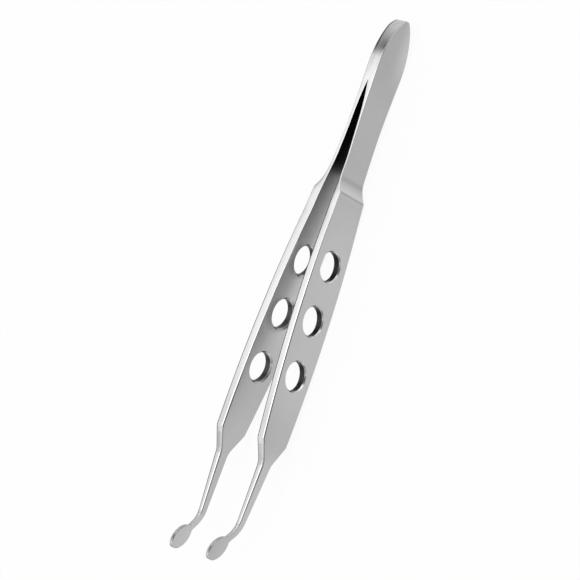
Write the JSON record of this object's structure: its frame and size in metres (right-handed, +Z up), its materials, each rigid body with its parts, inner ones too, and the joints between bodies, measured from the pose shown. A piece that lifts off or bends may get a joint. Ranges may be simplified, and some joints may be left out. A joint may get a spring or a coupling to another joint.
{
  "type": "eyelid massage tweezers",
  "caption": "Eyelid massage tweezers of satin stainless steel: leaf-shaped rear end, springy arms with pierced flat handles, slim bent stems and oval massage plates.",
  "frame": {"origin": "centre of the footprint, on the surface that the lower narrow edges rest on", "axes": "+X from the rear end to the massage plates, +Y across the two arms towards the right arm, +Z up"},
  "size_m": [0.1084, 0.012, 0.0122],
  "materials": {
    "satin_steel": "bead-blasted satin wide faces, smoother polished narrow edges"
  },
  "bodies": {
    "rear": {"rear_end": "satin_steel"},
    "right": {"right_arm": "satin_steel"},
    "left": {"left_arm": "satin_steel"}
  },
  "joints": [
    {"name": "right_flex", "type": "hinge", "parent": "rear", "child": "right", "pos_m": [-0.04076, 0.00063, 0.00418], "axis": [0.0213, 0, -0.9998], "range_deg": [0, 2.5], "stiffness_Nm_per_rad": 1},
    {"name": "left_flex", "type": "hinge", "parent": "rear", "child": "left", "pos_m": [-0.04076, -0.00063, 0.00418], "axis": [-0.0213, 0, 0.9998], "range_deg": [0, 2.5], "stiffness_Nm_per_rad": 1}
  ],
  "couplings": [
    {"joint": "left_flex", "follows": "right_flex", "ratio": 1}
  ]
}
